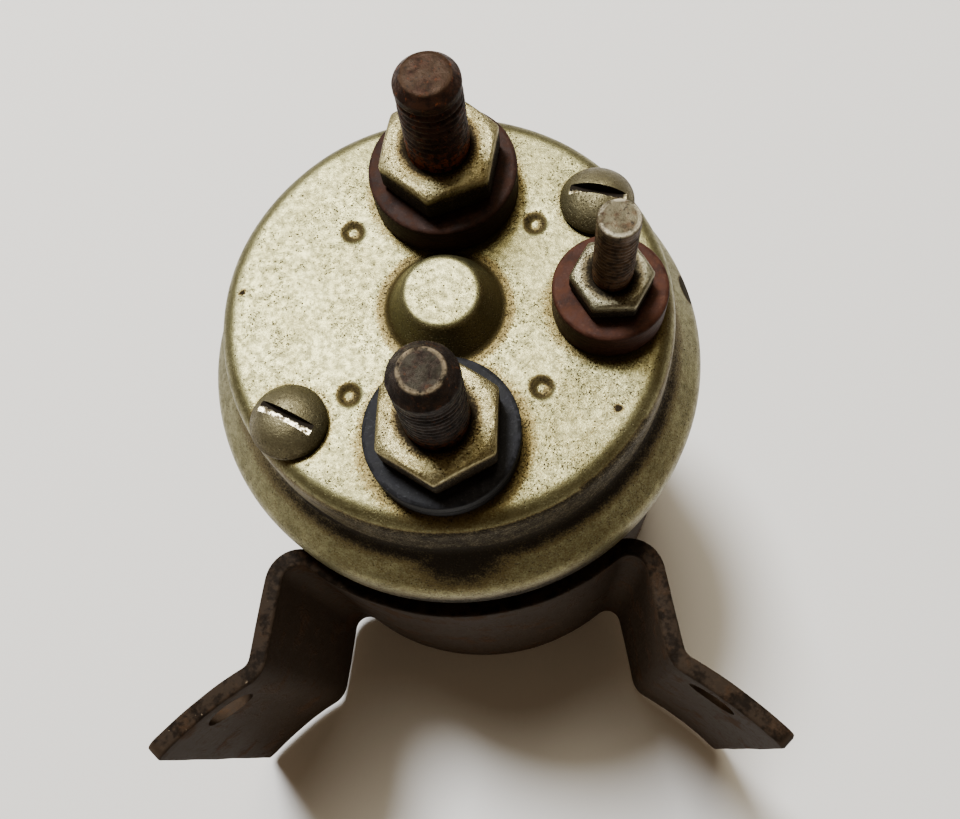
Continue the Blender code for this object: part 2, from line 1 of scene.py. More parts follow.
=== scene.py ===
"""Looks for the starter solenoid: fine meshes and worn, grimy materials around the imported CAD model.

Lengths are in millimetres, and MM turns them into Blender's metres. Floor, lights and camera are in metres.
Places come from the CAD nodes' boxes where they can. The named sizes of the cap, can and strap repeat those
that drive the CAD part. Everything inside the can was guessed, and so were the lamps' number and places.
"""

import functools
import math

import bmesh
import bpy
from mathutils import Matrix, Vector, noise


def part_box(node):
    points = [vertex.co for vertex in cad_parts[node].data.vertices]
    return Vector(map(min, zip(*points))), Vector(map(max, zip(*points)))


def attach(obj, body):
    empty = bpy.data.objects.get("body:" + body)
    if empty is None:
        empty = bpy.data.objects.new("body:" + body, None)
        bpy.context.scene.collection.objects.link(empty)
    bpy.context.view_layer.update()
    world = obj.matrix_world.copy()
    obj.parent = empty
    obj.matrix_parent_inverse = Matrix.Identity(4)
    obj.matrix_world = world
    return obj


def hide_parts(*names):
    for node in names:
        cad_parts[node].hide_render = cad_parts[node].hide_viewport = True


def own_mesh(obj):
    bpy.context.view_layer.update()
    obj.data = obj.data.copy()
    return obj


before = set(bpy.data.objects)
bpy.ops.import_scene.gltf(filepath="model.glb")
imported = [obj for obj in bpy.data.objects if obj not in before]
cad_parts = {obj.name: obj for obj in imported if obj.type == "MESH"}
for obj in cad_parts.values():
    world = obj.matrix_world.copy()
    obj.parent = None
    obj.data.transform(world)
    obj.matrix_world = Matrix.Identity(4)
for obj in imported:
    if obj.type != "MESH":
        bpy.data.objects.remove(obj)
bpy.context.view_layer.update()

MM = 0.001
HOUSING, PLUNGER = "housing", "plunger_assembly"

# The cap and the can.
FACE = 86.0
CAP_WALL = 0.9
CAP_RADIUS = 29.2
FLANGE_RADIUS = 34.4
FLANGE_BOTTOM = 65.4
STEP_DROP = 8.5
DOME_BASE_RADIUS, DOME_TOP_RADIUS, DOME_HEIGHT = 7.5, 4.85, 5.0
DIMPLE_X, DIMPLE_Y, DIMPLE_RADIUS, DIMPLE_DEPTH = 12.0, 11.4, 1.75, 0.65
CAN_RADIUS, CAN_TOP, CAN_WALL = 33.2, 69.5, 1.2
CAP_HOLES = {
    "battery_stud": 5.6, "starter_stud": 5.6, "control_stud": 4.0,
    "cap_screw_left": 2.6, "cap_screw_right": 2.6,
}

# The strap bracket's centreline, from the middle of the saddle to the tip of one foot.
STRAP_THICKNESS = 2.5
SADDLE_ANGLE, CREST_RADIUS = 37.0, 3.65
LEG_HEADING, LEG_LENGTH, FOOT_BEND_RADIUS = -81.0, 11.0, 3.2
FOOT_START, FOOT_END = -31.0, -46.8
MOTOR_RADIUS = 57.15
FOOT_CORNER, STRAP_EDGE = 2.0, 0.45
FOOT_HOLE_RADIUS, FOOT_HOLE_HEIGHT = 3.55, 56.6
FOOT_HOLE_PLACE = (34.35, -46.37)
FOOT_HOLE_HEADING = -38.5

# Threads: pitch and depth. GAP is the space between pieces that touch on the real switch.
COARSE_PITCH, COARSE_DEPTH = 25.4 / 24, 0.24
FINE_PITCH, FINE_DEPTH = 25.4 / 32, 0.19
GAP = 0.3

# Each stud: body radius, flat head's height, tip radius, chamfer length, thread pitch and depth, slot.
STUDS = {
    "battery": (3.97, 4.6, 2.9, 1.3, COARSE_PITCH, COARSE_DEPTH, "rusty_stud"),
    "starter": (3.92, 4.6, 2.45, 1.8, COARSE_PITCH, COARSE_DEPTH, "rusty_stud"),
    "control": (2.42, 1.8, 2.18, 0.3, FINE_PITCH, FINE_DEPTH, "dull_stud"),
}
STUD_RADII = {name: values[0] for name, values in STUDS.items()}
SCREW_SHANK_RADIUS, SCREW_SLOT_WIDTH, SCREW_SLOT_DEPTH = 2.2, 1.4, 1.4

# Grime on the cap's face round each of these: how far it reaches, and how dark it is.
FACE_GRIME = {
    "battery_insulator": (2.2, 0.55), "starter_insulator": (3.4, 0.72), "control_insulator": (2.6, 0.62),
    "cap_screw_left": (1.8, 0.45), "cap_screw_right": (1.4, 0.40),
}
# Chips in the plating. On the face: place and radius. On the side: angle, height, half width in degrees and
# half height.
FACE_CHIPS = (((21.1, -14.4), 0.45), ((-26.3, 3.3), 0.4))
SIDE_CHIPS = ((13.5, 71.3, 4.0, 1.3), (-5.0, 78.6, 1.2, 2.6), (-125.0, 77.4, 7.0, 0.8))

# The camera's place and its turn in degrees, and the point that both lamps face.
CAMERA_PLACE, CAMERA_TURN = (0.01104, -0.05349, 0.20167), (18.80, 3.74, -1.05)
LIGHT_AIM = (0.0, 0.0, 0.05)


# ---------------------------------------------------------------- meshes

def skin(name, rows, wrap=False):
    """A mesh through rows of points, each a closed ring or a single pole.

    wrap joins the last row to the first.
    """
    bm = bmesh.new()
    made = [[bm.verts.new([v * MM for v in point]) for point in row] for row in rows]
    pairs = list(zip(made, made[1:]))
    if wrap:
        pairs.append((made[-1], made[0]))
    for upper, lower in pairs:
        count = max(len(upper), len(lower))
        for i in range(count):
            j = (i + 1) % count
            corners = [upper[i % len(upper)], lower[i % len(lower)]]
            if len(lower) > 1:
                corners.append(lower[j])
            if len(upper) > 1:
                corners.append(upper[j])
            bm.faces.new(corners)
    return from_bmesh(name, bm)


def from_bmesh(name, bm):
    bmesh.ops.recalc_face_normals(bm, faces=bm.faces)
    mesh = bpy.data.meshes.new(name)
    bm.to_mesh(mesh)
    bm.free()
    obj = bpy.data.objects.new(name, mesh)
    bpy.context.scene.collection.objects.link(obj)
    return obj


def ring(centre, radius, z, count):
    """A row of points round an axis along Z. radius is a number or a function of the angle."""
    if radius == 0:
        return [(*centre, z)]
    points = []
    for i in range(count):
        angle = 2 * math.pi * i / count
        reach = radius(angle) if callable(radius) else radius
        points.append((centre[0] + reach * math.cos(angle), centre[1] + reach * math.sin(angle), z))
    return points


def rounded(profile, closed=False, steps=6):
    """A (radius, height, fillet) profile with its corners filleted, as (radius, height) points."""
    points = []
    last = len(profile) - 1
    for i, (r, z, fillet) in enumerate(profile):
        here = Vector((r, z))
        if fillet == 0 or (not closed and i in (0, last)):
            points.append((r, z))
            continue
        back = (Vector(profile[i - 1][:2]) - here).normalized()
        onward = (Vector(profile[(i + 1) % len(profile)][:2]) - here).normalized()
        half = back.angle(onward) / 2
        centre = here + (back + onward).normalized() * fillet / math.sin(half)
        start = here + back * fillet / math.tan(half) - centre
        end = here + onward * fillet / math.tan(half) - centre
        for k in range(steps + 1):
            points.append(tuple(centre + start.slerp(end, k / steps).normalized() * fillet))
    return points


def spaced(points, step):
    """The same (radius, height) line with extra points, so that no stretch is longer than step."""
    out = [points[0]]
    for a, b in zip(points, points[1:]):
        parts = max(1, math.ceil(math.dist(a, b) / step))
        for k in range(1, parts + 1):
            out.append((a[0] + (b[0] - a[0]) * k / parts, a[1] + (b[1] - a[1]) * k / parts))
    return out


def cylinder(name, radius, low, high, count, centre=(0.0, 0.0)):
    """A closed cylinder along Z."""
    profile = [(0.0, high), (radius, high), (radius, low), (0.0, low)]
    return skin(name, [ring(centre, r, z, count) for r, z in profile])


def with_poles(rows):
    """The rows between two single points, in the middles of the first and last row, which close the ends."""
    first, last = [[tuple(sum((Vector(p) for p in row), Vector()) / len(row))] for row in (rows[0], rows[-1])]
    return [first, *rows, last]


def set_back(distance, radius):
    """How far an edge rounded to this radius stands back at a distance from its end."""
    return 0.0 if distance >= radius else radius - math.sqrt(radius**2 - (radius - distance)**2)


def wobble(point, size, amount, seed=0.0):
    """A smooth random offset at a point, for surfaces that aren't quite true."""
    place = Vector(point) / size + Vector((seed, seed * 2.3, seed * 0.7))
    return amount * noise.noise(place)


def smooth(obj, angle):
    """Shades obj smooth, but for edges sharper than angle in degrees."""
    obj.data.shade_smooth()
    obj.data.set_sharp_from_angle(angle=math.radians(angle))


def apply_modifiers(obj):
    graph = bpy.context.evaluated_depsgraph_get()
    mesh = bpy.data.meshes.new_from_object(obj.evaluated_get(graph))
    obj.modifiers.clear()
    obj.data = mesh


def cut(obj, *cutters):
    """Cuts the cutters from obj and removes them."""
    for cutter in cutters:
        modifier = obj.modifiers.new("Cut", "BOOLEAN")
        modifier.operation = "DIFFERENCE"
        modifier.solver = "EXACT"
        modifier.object = cutter
    bpy.context.view_layer.update()
    apply_modifiers(obj)
    for cutter in cutters:
        bpy.data.objects.remove(cutter)


def attribute(obj, name, value):
    """Stores value(x, y, z), with the point in millimetres, on each vertex for the material to read."""
    layer = obj.data.attributes.new(name, "FLOAT", "POINT")
    layer.data.foreach_set("value", [value(*(c / MM for c in v.co)) for v in obj.data.vertices])


@functools.cache
def box_of(node):
    """A CAD node's lowest and highest corners, in millimetres."""
    low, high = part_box(node)
    return tuple(low / MM), tuple(high / MM)


def centre_of(node):
    low, high = box_of(node)
    return (low[0] + high[0]) / 2, (low[1] + high[1]) / 2


def heights_of(node):
    low, high = box_of(node)
    return low[2], high[2]


def radius_of(node):
    low, high = box_of(node)
    return (high[0] - low[0]) / 2


def step_up(value, low, high):
    """0 below low, 1 above high, smooth between."""
    t = min(1.0, max(0.0, (value - low) / (high - low)))
    return t * t * (3 - 2 * t)


# ---------------------------------------------------------------- materials

class Shader:
    """A Principled material and short ways to add its nodes.

    Texture space is the row frame at rest, in metres.
    """

    def __init__(self, name, metallic=0.0, specular=0.5):
        self.material = bpy.data.materials.new(name)
        self.material.use_nodes = True
        self.tree = self.material.node_tree
        self.surface = self.tree.nodes["Principled BSDF"]
        self.surface.inputs["Metallic"].default_value = metallic
        self.surface.inputs["Specular IOR Level"].default_value = specular
        self.place = self.tree.nodes.new("ShaderNodeTexCoord").outputs["Object"]
        self.relief = None

    def node(self, kind, inputs=(), output=0, **settings):
        node = self.tree.nodes.new(kind)
        for key, value in settings.items():
            setattr(node, key, value)
        for key, value in dict(inputs).items():
            if isinstance(value, bpy.types.NodeSocket):
                self.tree.links.new(value, node.inputs[key])
            else:
                node.inputs[key].default_value = value
        return node.outputs[output]

    def noise(self, size, detail=3.0, rough=0.55, stretch=(1, 1, 1), lean=0.0):
        """Cloudy noise, about 0.3 to 0.7, with features of about size millimetres."""
        scaled = self.node("ShaderNodeVectorMath", {0: self.place, 1: stretch}, operation="MULTIPLY")
        inputs = {"Vector": scaled, "Scale": 1 / (size * MM), "Detail": detail}
        inputs.update({"Roughness": rough, "Distortion": lean})
        return self.node("ShaderNodeTexNoise", inputs)

    def cells(self, size):
        return self.node("ShaderNodeTexVoronoi", {"Vector": self.place, "Scale": 1 / (size * MM)})

    def band(self, value, low, high):
        """0 where value is below low, 1 above high. With low over high it falls instead."""
        inputs = {"Value": value, "From Min": low, "From Max": high}
        return self.node("ShaderNodeMapRange", inputs, interpolation_type="SMOOTHSTEP")

    def math(self, operation, a, b=0.0):
        return self.node("ShaderNodeMath", {0: a, 1: b}, operation=operation)

    def times(self, a, b):
        return self.math("MULTIPLY", a, b)

    def either(self, a, b):
        return self.math("MAXIMUM", a, b)

    def read(self, name):
        return self.node("ShaderNodeAttribute", output=2, attribute_name=name)

    def height(self):
        """Z of the point, in metres."""
        return self.node("ShaderNodeSeparateXYZ", {"Vector": self.place}, output=2)

    def tint(self, share, a, b):
        """Colour a where share is 0 and b where it is 1."""
        mix = self.tree.nodes.new("ShaderNodeMix")
        mix.data_type = "RGBA"
        sockets = [s for s in mix.inputs if s.type == "RGBA"]
        factor = next(s for s in mix.inputs if s.type == "VALUE" and s.enabled)
        for socket, value in ((factor, share), (sockets[0], a), (sockets[1], b)):
            if isinstance(value, bpy.types.NodeSocket):
                self.tree.links.new(value, socket)
            elif isinstance(value, tuple):
                socket.default_value = (*value, 1.0)
            else:
                socket.default_value = value
        return next(s for s in mix.outputs if s.type == "RGBA")

    def colour(self, value):
        self.tree.links.new(value, self.surface.inputs["Base Color"])

    def rough(self, value, low, high):
        """Roughness from low, where value is 0, to high, where it is 1."""
        inputs = {"Value": value, "To Min": low, "To Max": high}
        self.tree.links.new(self.node("ShaderNodeMapRange", inputs), self.surface.inputs["Roughness"])

    def metal(self, value, low, high):
        """The same for the metallic share."""
        inputs = {"Value": value, "To Min": low, "To Max": high}
        self.tree.links.new(self.node("ShaderNodeMapRange", inputs), self.surface.inputs["Metallic"])

    def bump(self, value, depth):
        """Adds relief of depth millimetres where value goes from 0 to 1."""
        inputs = {"Height": value, "Distance": depth * MM, "Strength": 1.0}
        if self.relief is not None:
            inputs["Normal"] = self.relief
        self.relief = self.node("ShaderNodeBump", inputs)
        self.tree.links.new(self.relief, self.surface.inputs["Normal"])


def plating(name, shades, speckle=1.0, metallic=0.95, relief=1.0, roughness=0.36):
    """Old plated steel: mottled, speckled with dark pits, and brown where its dirt_wear_and_painted_light
    attribute says so.

    shades are the clean plating, the stained plating, a mid and a darkest brown for dirt, which on the cap
    also paint shade.
    """
    clean, stained, dirt_and_shade_mid, dirt_and_shade_dark = shades
    s = Shader(name, metallic, 0.1)
    cloud = s.band(s.noise(6.0, 5, 0.65), 0.38, 0.64)
    mottle = s.band(s.noise(1.0, 5, 0.75), 0.38, 0.64)
    grain = s.band(s.noise(0.20, 2, 0.7), 0.36, 0.64)
    base = s.tint(s.times(cloud, 0.9), clean, stained)
    base = s.tint(s.times(mottle, 0.55), base, tuple(c * 0.60 for c in stained))
    base = s.tint(s.times(grain, 0.34), base, tuple(min(1.0, c * 1.4) for c in clean))
    # Brown and near-black where the attribute is high: dirt, and on the cap painted shade as well.
    dirt_wear_and_painted_light = s.read("dirt_wear_and_painted_light")
    ragged = s.math("ADD", dirt_wear_and_painted_light, s.times(s.math("SUBTRACT", s.noise(1.8, 5, 0.75), 0.5), 0.7))
    ragged = s.math("ADD", ragged, s.times(s.math("SUBTRACT", s.noise(0.25, 2, 0.6), 0.5), 0.9))
    mid = s.times(s.band(ragged, 0.12, 0.62), s.band(dirt_wear_and_painted_light, 0.02, 0.18))
    dark = s.times(s.band(ragged, 0.55, 1.10), s.band(dirt_wear_and_painted_light, 0.2, 0.6))
    base = s.tint(s.times(mid, 0.75), base, dirt_and_shade_mid)
    base = s.tint(s.times(dark, 0.94), base, dirt_and_shade_dark)
    clusters = s.math("ADD", s.band(s.noise(4.0, 4, 0.65), 0.40, 0.66), dirt_wear_and_painted_light)
    dots = s.band(s.cells(0.50), 0.24, 0.12)
    crowd = s.math("ADD", s.noise(0.9, 3, 0.6), s.times(clusters, 0.14))
    dots = s.times(dots, s.band(crowd, 0.56, 0.64))
    fine = s.times(s.band(s.noise(0.24, 3, 0.6), 0.57, 0.70), s.band(clusters, 0.1, 1.1))
    coarse = s.band(s.noise(1.6, 4, 0.7), 0.71, 0.745)
    pits = s.times(s.either(s.either(s.times(fine, 0.8), dots), coarse), speckle)
    s.colour(s.tint(pits, base, (0.035, 0.024, 0.012)))
    dull = s.either(s.either(pits, s.times(mid, 0.3)), s.either(s.times(mottle, 0.35), dark))
    s.rough(dull, roughness, 0.80)
    s.metal(s.either(pits, dark), metallic, 0.2)
    s.bump(s.math("SUBTRACT", 1.0, pits), 0.05 * relief)
    s.bump(s.noise(0.45, 5, 0.7), 0.05 * relief)
    s.bump(s.noise(5.0, 2), 0.12)
    return s.material


def rusty_thread(name, base_z, tip_z, body, rust, worn, rim):
    """A dark rusted stud: orange rust by its nut, a dull tip, and a bright rim where its
    dirt_wear_and_painted_light attribute is 1, which is rubbed metal with a painted highlight.
    """
    metallic = 0.4
    s = Shader(name, metallic, 0.12)
    patch = s.noise(1.4, 5, 0.7)
    colour = s.tint(s.band(patch, 0.42, 0.60), body, tuple(c * 0.4 for c in body))
    z = s.height()
    low = s.band(z, (base_z + 5.0) * MM, (base_z + 0.3) * MM)
    glow = s.band(s.math("ADD", s.noise(0.8, 4, 0.7), s.times(low, 0.16)), 0.56, 0.72)
    colour = s.tint(s.times(glow, 0.75), colour, rust)
    top = s.band(z, (tip_z - 0.3) * MM, (tip_z - 0.05) * MM)
    colour = s.tint(s.times(top, s.band(s.noise(1.2, 4, 0.65), 0.30, 0.60)), colour, worn)
    # The bright rim colour: rubbed bare metal, and a painted highlight on the tip's bevel.
    edge = s.times(s.read("dirt_wear_and_painted_light"), s.band(s.noise(2.0, 4, 0.7), 0.38, 0.56))
    colour = s.tint(edge, colour, rim)
    speck = s.band(s.noise(0.35, 2), 0.62, 0.70)
    colour = s.tint(s.times(speck, 0.7), colour, (0.012, 0.008, 0.005))
    s.colour(colour)
    s.rough(s.either(glow, s.band(patch, 0.3, 0.7)), 0.40, 0.70)
    s.metal(s.either(glow, speck), metallic, 0.05)
    s.bump(s.noise(0.35, 4, 0.7), 0.09)
    s.bump(s.noise(1.6, 3), 0.12)
    return s.material


def fibre(name, face, dust, edge_z, sheen=0.10):
    """Pressed fibre: faintly layered, dusty on top and rubbed along its upper edge."""
    s = Shader(name, 0.0, sheen)
    layers = s.noise(2.5, 4, 0.6, stretch=(1, 1, 7))
    colour = s.tint(s.band(layers, 0.4, 0.62), face, tuple(c * 0.55 for c in face))
    fleck = s.band(s.noise(0.45, 3, 0.65), 0.55, 0.70)
    colour = s.tint(s.times(fleck, 0.5), colour, dust)
    top = s.band(s.height(), (edge_z - 0.9) * MM, edge_z * MM)
    rub = s.times(top, s.band(s.noise(1.5, 4, 0.7), 0.40, 0.68))
    colour = s.tint(s.times(rub, 0.45), colour, dust)
    s.colour(colour)
    s.rough(rub, 0.60, 0.85)
    s.bump(s.noise(0.3, 3, 0.6), 0.04)
    s.bump(layers, 0.06)
    return s.material


def old_paint(name, paint, rust, bare, low_z, high_z):
    """Dark brown-black paint with rust bleeding through it and chips along the upper and lower edges."""
    s = Shader(name, 0.0, 0.03)
    cloud = s.noise(9.0, 5, 0.65)
    streak = s.noise(3.0, 4, 0.7, stretch=(1, 1, 0.35), lean=0.4)
    bleed = s.band(s.math("ADD", s.times(cloud, 0.55), s.times(streak, 0.5)), 0.52, 0.66)
    colour = s.tint(s.times(bleed, 0.75), paint, rust)
    dust = s.band(s.noise(0.8, 4, 0.7), 0.50, 0.72)
    colour = s.tint(s.times(dust, 0.3), colour, tuple(c * 2.4 for c in paint))
    z = s.height()
    upper = s.band(z, (high_z - 0.55) * MM, (high_z - 0.05) * MM)
    lower = s.band(z, (low_z + 0.6) * MM, (low_z + 0.05) * MM)
    edge = s.either(upper, lower)
    dirt = s.band(s.noise(2.0, 4, 0.65), 0.30, 0.62)
    colour = s.tint(s.times(edge, s.either(dirt, 0.45)), colour, tuple(c * 0.22 for c in paint))
    chips = s.times(s.band(s.noise(1.4, 5, 0.75), 0.67, 0.71), edge)
    spots = s.band(s.noise(2.4, 5, 0.75), 0.73, 0.76)
    s.colour(s.tint(s.either(chips, s.times(spots, 0.6)), colour, bare))
    s.rough(s.either(bleed, dust), 0.58, 0.85)
    s.bump(bleed, 0.08)
    s.bump(s.noise(0.6, 4, 0.65), 0.05)
    return s.material


def slot_metal(name, centre, turn, scrape, shadow_from, end_from):
    """The inside of a screw slot: scraped metal on its near side and at one end, black painted shadow in the
    rest.
    """
    s = Shader(name, 0.9, 0.05)
    angle = math.radians(turn)
    offsets = []
    for x, y in ((-math.sin(angle), math.cos(angle)), (math.cos(angle), math.sin(angle))):
        inputs = {0: s.place, 1: (x, y, 0.0)}
        along = s.node("ShaderNodeVectorMath", inputs, output=1, operation="DOT_PRODUCT")
        offsets.append(s.math("SUBTRACT", along, (centre[0] * x + centre[1] * y) * MM))
    ragged = s.times(s.math("SUBTRACT", s.noise(0.9, 4, 0.7), 0.5), 1.1 * MM)
    # Black beyond a line across the slot: painted shadow on the far wall and floor, away from the lamps.
    shade = s.band(s.math("ADD", offsets[0], ragged), (shadow_from - 0.12) * MM, (shadow_from + 0.12) * MM)
    clear = s.band(s.math("ADD", offsets[1], ragged), (end_from - 0.3) * MM, (end_from + 0.3) * MM)
    shade = s.times(shade, s.math("SUBTRACT", 1.0, clear))
    flecks = s.band(s.noise(0.5, 4, 0.7), 0.46, 0.60)
    scraped = s.tint(s.times(flecks, 0.85), scrape, (0.07, 0.045, 0.018))
    s.colour(s.tint(shade, scraped, (0.012, 0.009, 0.006)))
    s.rough(s.either(shade, flecks), 0.35, 0.8)
    s.metal(shade, 0.9, 0.0)
    s.bump(s.noise(0.5, 4, 0.7), 0.08)
    return s.material


def turned_metal(name, colour, stain, roughness=0.3):
    """Machined metal: fine tool lines round Z, light stains."""
    s = Shader(name, 1.0)
    tool = s.noise(0.35, 2, 0.5, stretch=(0.05, 0.05, 1))
    patches = s.band(s.noise(4.0, 4, 0.65), 0.45, 0.65)
    shade = s.tint(s.times(patches, 0.6), colour, stain)
    s.colour(s.tint(s.times(s.band(tool, 0.4, 0.6), 0.25), shade, tuple(c * 0.7 for c in colour)))
    s.rough(patches, roughness, roughness + 0.25)
    s.bump(tool, 0.02)
    return s.material


def moulded(name, colour, fleck):
    """Moulded phenolic or plastic with a faint fleck."""
    s = Shader(name, 0.0, 0.45)
    swirl = s.band(s.noise(5.0, 4, 0.6, lean=0.8), 0.40, 0.62)
    grain = s.band(s.noise(0.4, 3, 0.6), 0.52, 0.68)
    s.colour(s.tint(s.times(grain, 0.6), s.tint(swirl, colour, tuple(c * 0.6 for c in colour)), fleck))
    s.rough(swirl, 0.45, 0.65)
    s.bump(s.noise(0.5, 3), 0.03)
    return s.material


def wound_copper(name, enamel, dark, pitch):
    """Layers of enamelled wire: fine round ridges, one for each turn."""
    s = Shader(name, 0.85)
    turns = s.math("SINE", s.times(s.height(), 2 * math.pi / (pitch * MM)))
    ridge = s.band(turns, -1.0, 0.6)
    patches = s.band(s.noise(6.0, 4), 0.42, 0.62)
    # The grooves between the turns are painted dark: painted shade between the wires. The patches are stains.
    s.colour(s.tint(ridge, dark, s.tint(s.times(patches, 0.5), enamel, dark)))
    s.rough(patches, 0.25, 0.45)
    s.bump(ridge, 0.25)
    return s.material


def woven(name, thread, gap, size):
    """Varnished cloth or paper: a small over-and-under weave."""
    s = Shader(name, 0.0, 0.4)
    across = s.noise(size, 2, 0.5, stretch=(1, 1, 0.15))
    along = s.noise(size, 2, 0.5, stretch=(0.15, 0.15, 1))
    weave = s.band(s.math("ADD", s.times(across, 0.5), s.times(along, 0.5)), 0.42, 0.58)
    stain = s.band(s.noise(5.0, 4), 0.45, 0.65)
    s.colour(s.tint(weave, gap, s.tint(s.times(stain, 0.4), thread, gap)))
    s.rough(stain, 0.5, 0.8)
    s.bump(weave, 0.08)
    return s.material


def pressed_cork(name, colour, dark):
    """Cork grains with dark seams between them."""
    s = Shader(name, 0.0, 0.2)
    grains = s.band(s.cells(1.1), 0.15, 0.75)
    s.colour(s.tint(s.times(grains, 0.7), colour, dark))
    s.rough(grains, 0.75, 0.95)
    s.bump(grains, 0.15)
    return s.material


def backdrop(name, colour):
    """A matt white sheet with a very faint tone."""
    s = Shader(name, 0.0, 0.2)
    s.colour(s.tint(s.times(s.noise(120.0, 3), 0.12), colour, tuple(c * 0.93 for c in colour)))
    s.rough(s.noise(60.0, 2), 0.75, 0.9)
    return s.material


# ---------------------------------------------------------------- the cap and the can

def cap_line():
    """The cap's outer side as (radius, height), from the dome's centre down to the lip of its skirt."""
    step_z = FACE - STEP_DROP
    wall_foot = CAP_RADIUS + 0.2
    slope = math.radians(50.0)
    bend = 2.2
    start = (wall_foot + bend * (1 - math.cos(slope)), step_z - bend * math.sin(slope))
    drop = math.tan(slope)
    return rounded([
        (0.0, FACE + DOME_HEIGHT, 0),
        (DOME_TOP_RADIUS, FACE + DOME_HEIGHT, 1.1),
        (DOME_BASE_RADIUS, FACE, 0.9),
        (CAP_RADIUS, FACE, 2.4),
        (wall_foot, step_z - 0.8, 2.4),
        (FLANGE_RADIUS, start[1] - (FLANGE_RADIUS - start[0]) * drop, 4.2),
        (FLANGE_RADIUS, FLANGE_BOTTOM, 0.9),
    ], steps=10)


def dimple_drop(x, y):
    """How far the cap's face is pushed in at a point, by the four punched dimples."""
    distance = math.hypot(abs(x) - DIMPLE_X, abs(y) - DIMPLE_Y)
    bowl = DIMPLE_DEPTH * (1 - step_up(distance, 0.55, DIMPLE_RADIUS))
    nib = 0.22 * (1 - step_up(distance, 0.1, 0.6))
    return bowl - nib


def cap_dirt_and_painted_shade(x, y, z):
    """How dark the cap is painted: dirt round each terminal and at the dome's foot, wear chips, and dirt with
    painted shade on the dome's and dimples' shaded sides, painted shade at the rim, and dirt with painted
    shade down its near side.
    """
    worst = 0.0
    radius = math.hypot(x, y)
    if z > FACE - 1.0:
        for node, (reach, amount) in FACE_GRIME.items():
            centre = centre_of(node)
            edge = math.hypot(x - centre[0], y - centre[1]) - radius_of(node)
            worst = max(worst, amount * (1 - step_up(edge, 0.0, reach)))
        worst = max(worst, 0.70 * (1 - step_up(abs(radius - DOME_BASE_RADIUS - 0.4), 0.4, 1.7)))
        # Painted shade on the dome's lower right side, which faces away from the lamps, over a thin layer of
        # dirt.
        if DOME_TOP_RADIUS < radius < DOME_BASE_RADIUS:
            worst = max(worst, 0.16 + 0.5 * step_up(x - y, -2.0, 7.0))
        for spot, size in FACE_CHIPS:
            worst = max(worst, 1.6 * (1 - step_up(math.dist((x, y), spot), size * 0.6, size * 1.5)))
        # Dirt in a ring in each dimple, moved to its upper left wall as painted shade.
        dimple = (x - math.copysign(DIMPLE_X, x) + 0.22, y - math.copysign(DIMPLE_Y, y) - 0.22)
        worst = max(worst, 0.85 * (1 - step_up(abs(math.hypot(*dimple) - 1.05), 0.2, 0.8)))
        worst = max(worst, 0.22 * step_up(x * 0.6 - y * 0.8, 2.0, 20.0))
        # Darker towards the rim: painted shade where the face rounds over.
        worst = max(worst, 0.14 * step_up(radius, 25.5, CAP_RADIUS))
    facing = math.degrees(math.atan2(y, x))
    near = 0.5 + 0.5 * math.cos(math.radians(facing + 75))
    # Down the side: darker towards the near side, away from the lamps, along the wall, in the groove under
    # the step and by the flange's foot. This is dirt and painted shade together. The chips below are wear.
    if z <= FACE - 1.0:
        groove = 1 - step_up(abs(z - (FACE - STEP_DROP - 1.0)), 0.6, 3.2)
        worst = 0.03 + 0.32 * step_up(near, 0.3, 1.0)
        wall = step_up(z, FACE - STEP_DROP - 3.0, FACE - STEP_DROP)
        worst = max(worst, wall * 0.95 * step_up(near, 0.45, 1.0))
        worst = max(worst, groove * (0.25 + 0.85 * step_up(near, 0.2, 1.0)))
        low = step_up(FLANGE_BOTTOM + 7.0 - z, 0.0, 6.0)
        worst = max(worst, low * 1.05 * (1 - step_up(abs(facing + 80), 15.0, 55.0)))
        clump = math.hypot((facing + 89) / 10.0, (z - (FACE - STEP_DROP - 1.5)) / 3.2)
        worst = max(worst, 1.25 * (1 - step_up(clump, 0.2, 2.3)))
        for turn, height, wide, tall in SIDE_CHIPS:
            nick = math.hypot((facing - turn) / wide, (z - height) / tall)
            worst = max(worst, 1.8 * (1 - step_up(nick, 0.7, 1.2)))
    return worst


def make_end_cap():
    rows = []
    for r, z in spaced(cap_line(), 0.42):
        row = []
        for x, y, height in ring((0.0, 0.0), r, z, 360):
            if z > FACE - 0.5:
                height -= dimple_drop(x, y)
            lift = wobble((x, y, z), 14.0, 0.16) + wobble((x, y, z), 4.0, 0.03, 5.0)
            row.append((x, y, height + lift * step_up(FACE + 3.0 - z, -3.0, 2.0)))
        rows.append(row)
    cap = skin("cap_shell", rows)
    wall = cap.modifiers.new("Wall", "SOLIDIFY")
    wall.thickness = CAP_WALL * MM
    wall.offset = -1.0
    apply_modifiers(cap)
    bores = []
    for node, radius in CAP_HOLES.items():
        bores.append(cylinder("bore", radius, FACE - 4, FACE + 3, 48, centre_of(node)))
    cut(cap, *bores)
    attribute(cap, "dirt_wear_and_painted_light", cap_dirt_and_painted_shade)
    smooth(cap, 50)
    cap.data.materials.clear()
    cap.data.materials.append(plating("worn_plating", (
        (0.240, 0.223, 0.108), (0.152, 0.137, 0.060), (0.095, 0.062, 0.018), (0.011, 0.007, 0.003),
    )))
    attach(cap, HOUSING)
    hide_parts("end_cap")


def waved(point, radius):
    """A point of the can's side moved slightly in or out, as a drawn wall is never quite round."""
    x, y, z = point
    reach = radius + wobble(point, 16.0, 0.12)
    return x * reach / radius, y * reach / radius, z


